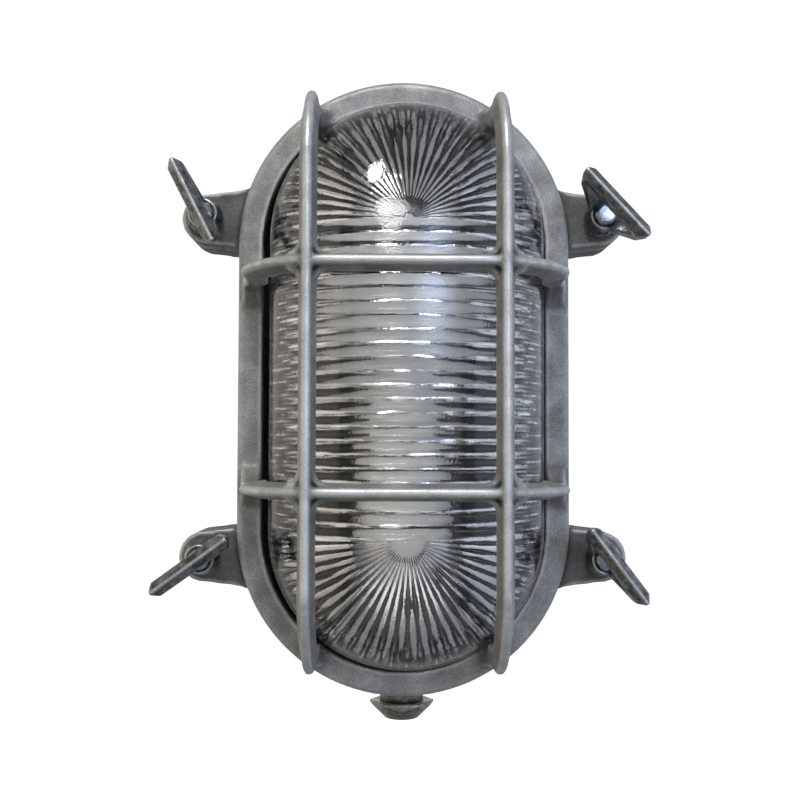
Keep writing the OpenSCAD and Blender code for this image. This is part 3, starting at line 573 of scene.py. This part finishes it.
# Hot-dip galvanised malleable iron: grey, mottled with darker patches some 3 mm wide, with lumps
# of about 1 mm from the sand and brighter edges where fingers turn it.
MOTTLE = 1 / 0.003
LUMP = 1 / 0.001
galvanised, tree = blank_material("galvanised_malleable_iron")
place = add(tree, "ShaderNodeTexCoord").outputs["Object"]
mottle = add(tree, "ShaderNodeTexNoise",
             inputs={"Vector": place, "Scale": MOTTLE, "Detail": 4.0, "Roughness": 0.6})
lump = add(tree, "ShaderNodeTexNoise", inputs={"Vector": place, "Scale": LUMP, "Detail": 2.0})
ramp = add(tree, "ShaderNodeValToRGB", inputs={"Fac": mottle.outputs["Fac"]})
set_stops(ramp, [(0.34, "#565757"), (0.5, "#868786"), (0.68, "#b0b1b0")])
wear_and_corner_shade = add(tree, "ShaderNodeAttribute", {"attribute_name": "wear_and_corner_shade"}).outputs["Fac"]
rubbed = add(tree, "ShaderNodeMapRange",
             inputs={"Value": wear_and_corner_shade, "From Min": BULGE_FROM, "From Max": BULGE_FULL, "To Max": 0.7})
colour = add(tree, "ShaderNodeMix", {"data_type": "RGBA"},
             {"Factor": rubbed.outputs["Result"], "A": ramp.outputs["Color"], "B": linear("#d4d4d2")})
dull = add(tree, "ShaderNodeMapRange",
           inputs={"Value": mottle.outputs["Fac"], "From Min": 0.3, "From Max": 0.7,
                   "To Min": 0.5, "To Max": 0.32})
relief = add(tree, "ShaderNodeBump",
             inputs={"Strength": 0.5, "Distance": 0.0004, "Height": lump.outputs["Fac"]})
shader = add(tree, "ShaderNodeBsdfPrincipled",
             inputs={"Base Color": colour.outputs["Result"], "Metallic": 1.0,
                     "Roughness": dull.outputs["Result"], "Normal": relief.outputs["Normal"]})
add(tree, "ShaderNodeOutputMaterial", inputs={"Surface": shader.outputs["BSDF"]})

for corner in ("top_left", "top_right", "bottom_left", "bottom_right"):
    washer = eased("steel_washer_" + corner, "washer_" + corner, width=0.0002, material=zinc)
    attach(washer, "washer_" + corner)
    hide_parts("washer_" + corner)
    nut = soft_casting("cast_wing_nut_" + corner, "wing_nut_" + corner,
                       voxel=0.00045, rounds=3, material=galvanised)
    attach(nut, "nut_" + corner)
    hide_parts("wing_nut_" + corner)


# Lampholder
# A glazed porcelain cup, screwed to a folded steel bracket, with a brass screw shell,
# a sprung brass contact and two brass terminal screws in its back. The earth screw is brass too.

# Glazed porcelain: warm white under a clear glossy glaze, with slow waves about 9 mm long.
WAVE = 1 / 0.009
porcelain, tree = blank_material("glazed_porcelain")
place = add(tree, "ShaderNodeTexCoord").outputs["Object"]
wave = add(tree, "ShaderNodeTexNoise", inputs={"Vector": place, "Scale": WAVE, "Detail": 3.0})
ramp = add(tree, "ShaderNodeValToRGB", inputs={"Fac": wave.outputs["Fac"]})
set_stops(ramp, [(0.3, "#dedbd2"), (0.7, "#f0eee7")])
relief = add(tree, "ShaderNodeBump",
             inputs={"Strength": 0.15, "Distance": 0.0004, "Height": wave.outputs["Fac"]})
shader = add(tree, "ShaderNodeBsdfPrincipled",
             inputs={"Base Color": ramp.outputs["Color"], "Roughness": 0.12, "IOR": 1.5,
                     "Normal": relief.outputs["Normal"]})
add(tree, "ShaderNodeOutputMaterial", inputs={"Surface": shader.outputs["BSDF"]})

# Drawn sheet brass, bare and a little tarnished: yellow with browner clouds about 4 mm wide.
TARNISH = 1 / 0.004
brass, tree = blank_material("drawn_brass")
place = add(tree, "ShaderNodeTexCoord").outputs["Object"]
tarnish = add(tree, "ShaderNodeTexNoise", inputs={"Vector": place, "Scale": TARNISH, "Detail": 4.0})
ramp = add(tree, "ShaderNodeValToRGB", inputs={"Fac": tarnish.outputs["Fac"]})
set_stops(ramp, [(0.35, "#9a7d3e"), (0.65, "#cdb56b")])
polish = add(tree, "ShaderNodeMapRange",
             inputs={"Value": tarnish.outputs["Fac"], "From Min": 0.3, "From Max": 0.7,
                     "To Min": 0.42, "To Max": 0.22})
shader = add(tree, "ShaderNodeBsdfPrincipled",
             inputs={"Base Color": ramp.outputs["Color"], "Metallic": 1.0,
                     "Roughness": polish.outputs["Result"]})
add(tree, "ShaderNodeOutputMaterial", inputs={"Surface": shader.outputs["BSDF"]})

for node, width, material, slot in (
        ("lampholder_body", 0.0005, porcelain, "porcelain"),
        ("screw_shell", 0.0002, brass, "brass"),
        ("centre_contact", 0.0001, brass, "brass"),
        ("terminal_screws", 0.0002, brass, "brass"),
        ("earth_screw", 0.0003, brass, "brass"),
        ("lampholder_bracket", 0.0003, zinc, "zinc_plated_steel"),
        ("holder_screws", 0.0002, zinc, "zinc_plated_steel"),
        ("bracket_screws", 0.0003, zinc, "zinc_plated_steel")):
    piece = eased(node + "_finished", node, width, material)
    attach(piece, "light")
    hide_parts(node)


# Lamp
# A screw-cap lamp with an opal bulb. The cap is nickel-plated brass with a rolled thread, and a
# black insulator carries the contact at its tip. It screws into the lampholder's shell.

LAMP_DEPTH = 0.0500
LAMP_TIP = -0.0520
LAMP_STEPS = 64
CONTACT_R, CONTACT_EASE = 0.0045, 0.0005
CONTACT_RISE, CONTACT_EDGE, CONTACT_TO = 0.0008, 0.0015, 0.0020
INSULATOR_R = 0.0088
CAP_R, CAP_STEP = 0.0132, 0.0004
CAP_FROM, CAP_TO = 0.0045, 0.0270
CAP_PITCH, CAP_WAVE, CAP_GROOVE = 0.0036, 0.0003, 0.0004
CAP_PLAIN_BELOW, CAP_PLAIN_ABOVE = 0.002, 0.003
NECK_R, NECK_FROM, NECK_TO = 0.0140, 0.0290, 0.0391
NECK_LIP, NECK_RISE = 0.0004, 0.0006
BULB_R, BULB_MID = 0.0370, 0.0800
INSET = 0.0002
FLARE = math.radians(40)
FLARE_CURVE = 0.3
FLARE_FIRST, FLARE_LAST = 0.08, 0.95
NECK_ROWS, FLARE_ROWS, BULB_ROWS = 8, 12, 28
CROWN = 0.075


def lamp_profile():
    """Radius and height of the lamp's outline, tip first."""
    yield from ((0.0, 0.0), (CONTACT_R - CONTACT_EASE, 0.0), (CONTACT_R, CONTACT_RISE),
                (CONTACT_R, CONTACT_TO), (INSULATOR_R, CAP_FROM))
    for height in np.arange(CAP_FROM + CAP_STEP, CAP_TO, CAP_STEP):
        yield CAP_R - CAP_WAVE, height
    yield from ((CAP_R, CAP_TO), (NECK_R - NECK_LIP, CAP_TO + NECK_RISE))
    for height in np.linspace(NECK_FROM, NECK_TO, NECK_ROWS):
        yield NECK_R - INSET, height
    wider = BULB_R * math.cos(FLARE) - NECK_R
    higher = BULB_MID - BULB_R * math.sin(FLARE) - NECK_TO
    for share in np.linspace(FLARE_FIRST, FLARE_LAST, FLARE_ROWS):
        ease = share * share * (3 - 2 * share) * FLARE_CURVE + share * (1 - FLARE_CURVE)
        yield NECK_R + wider * ease - INSET, NECK_TO + higher * share
    for angle in np.linspace(-FLARE, math.pi / 2 - CROWN, BULB_ROWS):
        yield BULB_R * math.cos(angle), BULB_MID + BULB_R * math.sin(angle)
    yield 0.0, BULB_MID + BULB_R * math.cos(CROWN)


outline = np.array(list(lamp_profile()))
turn = np.linspace(0, 2 * math.pi, LAMP_STEPS + 1)
radius = np.repeat(outline[:, :1], len(turn), 1)
height = np.repeat(outline[:, 1:], len(turn), 1)
thread = np.cos(2 * math.pi * height / CAP_PITCH - turn)
on_cap = (height > CAP_FROM + CAP_PLAIN_BELOW) & (height < CAP_TO - CAP_PLAIN_ABOVE)
radius = radius + np.where(on_cap, CAP_WAVE * thread - CAP_GROOVE, 0.0)
lamp = join_patches("opal_lamp", [np.stack(
    [radius * np.cos(turn), -LAMP_DEPTH + radius * np.sin(turn), LAMP_TIP + height], -1)])

# Opal glass, blown: milky white and even, with a soft gloss and faint clouds about 15 mm wide.
MILK = 1 / 0.015
opal, tree = blank_material("opal_glass")
place = add(tree, "ShaderNodeTexCoord").outputs["Object"]
milk = add(tree, "ShaderNodeTexNoise", inputs={"Vector": place, "Scale": MILK, "Detail": 2.0})
ramp = add(tree, "ShaderNodeValToRGB", inputs={"Fac": milk.outputs["Fac"]})
set_stops(ramp, [(0.3, "#dededc"), (0.7, "#eaeae8")])
shader = add(tree, "ShaderNodeBsdfPrincipled",
             inputs={"Base Color": ramp.outputs["Color"], "Roughness": 0.07, "IOR": 1.5})
add(tree, "ShaderNodeOutputMaterial", inputs={"Surface": shader.outputs["BSDF"]})

# Nickel plate over brass: warm grey and semi-bright, with fine handling marks about 2 mm long.
SMEAR = 1 / 0.002
nickel, tree = blank_material("nickel_plated_brass")
place = add(tree, "ShaderNodeTexCoord").outputs["Object"]
smear = add(tree, "ShaderNodeTexNoise",
            inputs={"Vector": place, "Scale": SMEAR, "Detail": 4.0, "Roughness": 0.65})
ramp = add(tree, "ShaderNodeValToRGB", inputs={"Fac": smear.outputs["Fac"]})
set_stops(ramp, [(0.3, "#6f6e6a"), (0.7, "#a9a7a1")])
polish = add(tree, "ShaderNodeMapRange",
             inputs={"Value": smear.outputs["Fac"], "From Min": 0.3, "From Max": 0.7,
                     "To Min": 0.34, "To Max": 0.18})
shader = add(tree, "ShaderNodeBsdfPrincipled",
             inputs={"Base Color": ramp.outputs["Color"], "Metallic": 1.0,
                     "Roughness": polish.outputs["Result"]})
add(tree, "ShaderNodeOutputMaterial", inputs={"Surface": shader.outputs["BSDF"]})

for material in (nickel, rubber, opal):
    lamp.data.materials.append(material)
heights = np.array([face.center.z for face in lamp.data.polygons]) - LAMP_TIP
kind = np.select([heights < CONTACT_EDGE, heights < CAP_FROM, heights < CAP_TO], [0, 1, 0], 2)
lamp.data.polygons.foreach_set("material_index", kind.astype(np.int32))
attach(lamp, "light")
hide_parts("lamp")


# Cable gland
# A nickel-plated brass gland screwed into the housing's lower end on a fibre washer.
# Its nut squeezes a rubber seal onto the cable through a loose steel ring.

# Vulcanised fibre: red-brown, dry and faintly fibrous, with streaks about 1.5 mm long.
STREAK = 1 / 0.0015
fibre, tree = blank_material("vulcanised_fibre")
place = add(tree, "ShaderNodeTexCoord").outputs["Object"]
streak = add(tree, "ShaderNodeTexNoise", inputs={"Vector": place, "Scale": STREAK, "Detail": 3.0})
ramp = add(tree, "ShaderNodeValToRGB", inputs={"Fac": streak.outputs["Fac"]})
set_stops(ramp, [(0.3, "#4a281b"), (0.7, "#6f4430")])
shader = add(tree, "ShaderNodeBsdfPrincipled", inputs={"Base Color": ramp.outputs["Color"], "Roughness": 0.8})
add(tree, "ShaderNodeOutputMaterial", inputs={"Surface": shader.outputs["BSDF"]})

dress("gland_washer", fibre)
for node, body, width, material, slot in (
        ("gland_body", "light", 0.0004, nickel, "plated_brass"),
        ("gland_nut", "gland_nut", 0.0004, nickel, "plated_brass"),
        ("gland_slip_ring", "gland_ring", 0.0001, zinc, "zinc_plated_steel")):
    piece = eased(node + "_finished", node, width, material)
    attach(piece, body)
    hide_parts(node)


# Studio
# A pale floor well below the light in a grey room that the camera sees as white paper. A lamp overhead
# lights the metal, a bluish window stands at the right, and three white cards show in the glass alone.
# The camera stands where the photograph was taken from.

FLOOR_LEVEL = -0.5
FLOOR_SIDE, FLOOR_BACK = 6.0, 9.0
floor_mesh = bpy.data.meshes.new("pale_floor")
floor_mesh.from_pydata(
    [(-FLOOR_SIDE, -FLOOR_SIDE, FLOOR_LEVEL), (FLOOR_SIDE, -FLOOR_SIDE, FLOOR_LEVEL),
     (FLOOR_SIDE, FLOOR_BACK, FLOOR_LEVEL), (-FLOOR_SIDE, FLOOR_BACK, FLOOR_LEVEL)], [], [(0, 1, 2, 3)])
floor = bpy.data.objects.new("pale_floor", floor_mesh)
bpy.context.scene.collection.objects.link(floor)
pale, tree = blank_material("matt_white_board")
shader = add(tree, "ShaderNodeBsdfPrincipled",
             inputs={"Base Color": linear("#f4f4f2"), "Roughness": 0.9,
                     "Emission Color": linear("#ffffff"), "Emission Strength": 0.8})
add(tree, "ShaderNodeOutputMaterial", inputs={"Surface": shader.outputs["BSDF"]})
floor_mesh.materials.append(pale)
floor.visible_diffuse = floor.visible_glossy = floor.visible_transmission = False

world = bpy.data.worlds.new("studio")
bpy.context.scene.world = world
world.use_nodes = True
tree = world.node_tree
tree.nodes.clear()
direction = add(tree, "ShaderNodeTexCoord").outputs["Generated"]
side, _, height = add(tree, "ShaderNodeSeparateXYZ", inputs={"Vector": direction}).outputs
level = add(tree, "ShaderNodeMapRange", inputs={"Value": height, "From Min": -1.0, "From Max": 1.0})
ramp = add(tree, "ShaderNodeValToRGB", inputs={"Fac": level.outputs["Result"]})
set_stops(ramp, [(0.05, "#686868"), (0.40, "#989898"), (0.55, "#c4c4c4"),
                 (0.75, "#8c8c8c"), (1.0, "#707070")])
turned = add(tree, "ShaderNodeMapRange", inputs={"Value": side, "From Min": -0.7, "From Max": 0.7})
tint = add(tree, "ShaderNodeMix", {"data_type": "RGBA"},
           {"Factor": turned.outputs["Result"], "A": linear("#f6f0e6"), "B": linear("#e6efff")})
walls = add(tree, "ShaderNodeMix", {"data_type": "RGBA", "blend_type": "MULTIPLY"},
            {"Factor": 1.0, "A": ramp.outputs["Color"], "B": tint.outputs["Result"]})
room = add(tree, "ShaderNodeBackground", inputs={"Color": walls.outputs["Result"], "Strength": 1.78})
paper = add(tree, "ShaderNodeBackground", inputs={"Color": linear("#ffffff"), "Strength": 1.05})
seen = add(tree, "ShaderNodeLightPath").outputs["Is Camera Ray"]
mixed = add(tree, "ShaderNodeMixShader",
            inputs={0: seen, 1: room.outputs["Background"], 2: paper.outputs["Background"]})
add(tree, "ShaderNodeOutputWorld", inputs={"Surface": mixed.outputs["Shader"]})


BOX_MIDDLE, BOX_EDGE = (0.5, 0.5, 0.0), 0.5


def soft_light(name, place, aim, size, power, colour, core):
    """A softbox at a place, turned towards what it lights, that fades from its core towards its edges."""
    lamp_data = bpy.data.lights.new(name, "AREA")
    lamp_data.shape = "RECTANGLE"
    lamp_data.size, lamp_data.size_y = size
    lamp_data.energy = power
    lamp_data.color = linear(colour)[:3]
    lamp_data.use_nodes = True
    tree = lamp_data.node_tree
    tree.nodes.clear()
    spot = add(tree, "ShaderNodeNewGeometry").outputs["Parametric"]
    off_middle = add(tree, "ShaderNodeVectorMath", {"operation": "DISTANCE"}, {0: spot, 1: BOX_MIDDLE})
    fade = add(tree, "ShaderNodeMapRange", {"interpolation_type": "SMOOTHSTEP"},
               {"Value": off_middle.outputs["Value"], "From Min": BOX_EDGE, "From Max": core})
    glow = add(tree, "ShaderNodeEmission", inputs={"Strength": fade.outputs["Result"]})
    add(tree, "ShaderNodeOutputLight", inputs={"Surface": glow.outputs["Emission"]})
    holder = bpy.data.objects.new(name, lamp_data)
    bpy.context.scene.collection.objects.link(holder)
    away = Vector(place) - Vector(aim)
    holder.matrix_world = Matrix.Translation(place) @ away.to_track_quat("Z", "Y").to_matrix().to_4x4()
    return holder


ceiling = soft_light("ceiling_lamp", place=(-0.06, -0.57, 0.66), aim=(0.0, -0.06, 0.0), size=(0.30, 0.30),
                     power=11.4, colour="#ffffff", core=0.05)
soft_light("window", place=(0.28, -0.81, 0.14), aim=(0.0, -0.06, 0.03), size=(0.60, 0.18),
           power=3.4, colour="#c4d8ff", core=0.05)
high_card = soft_light("high_card", place=(-0.36, -0.62, 0.74), aim=(0.0, -0.11, 0.05), size=(0.18, 0.30),
                       power=9.0, colour="#ffffff", core=0.35)
low_card = soft_light("low_card", place=(-0.21, -0.94, 0.34), aim=(0.0, -0.11, 0.0), size=(0.46, 0.30),
                      power=6.6, colour="#ffffff", core=0.35)
table_card = soft_light("table_card", place=(0.0, -0.32, -0.48), aim=(0.0, -0.09, 0.0), size=(1.0, 0.7),
                        power=1.5, colour="#ffffff", core=0.10)
for holder, state in ((ceiling, "EXCLUDE"), (high_card, "INCLUDE"), (low_card, "INCLUDE"),
                      (table_card, "INCLUDE")):
    lit = bpy.data.collections.new("glass_for_" + holder.name)
    lit.objects.link(glass)
    lit.collection_objects[0].light_linking.link_state = state
    holder.light_linking.receiver_collection = lit

CAMERA_PLACE = (-0.00656, -0.49503, -0.02258)
PAN, TILT, ROLL = math.radians(-0.67), math.radians(92.24), math.radians(0.17)
camera_data = bpy.data.cameras.new("camera")
camera_data.sensor_width = 36.0
camera_data.lens = 50.86
camera = bpy.data.objects.new("camera", camera_data)
bpy.context.scene.collection.objects.link(camera)
camera.matrix_world = (
    Matrix.Translation(CAMERA_PLACE) @ Matrix.Rotation(PAN, 4, "Z")
    @ Matrix.Rotation(TILT, 4, "X") @ Matrix.Rotation(ROLL, 4, "Z"))
camera_data.clip_start = 0.01
bpy.context.scene.camera = camera
bpy.context.scene.view_settings.view_transform = "Standard"
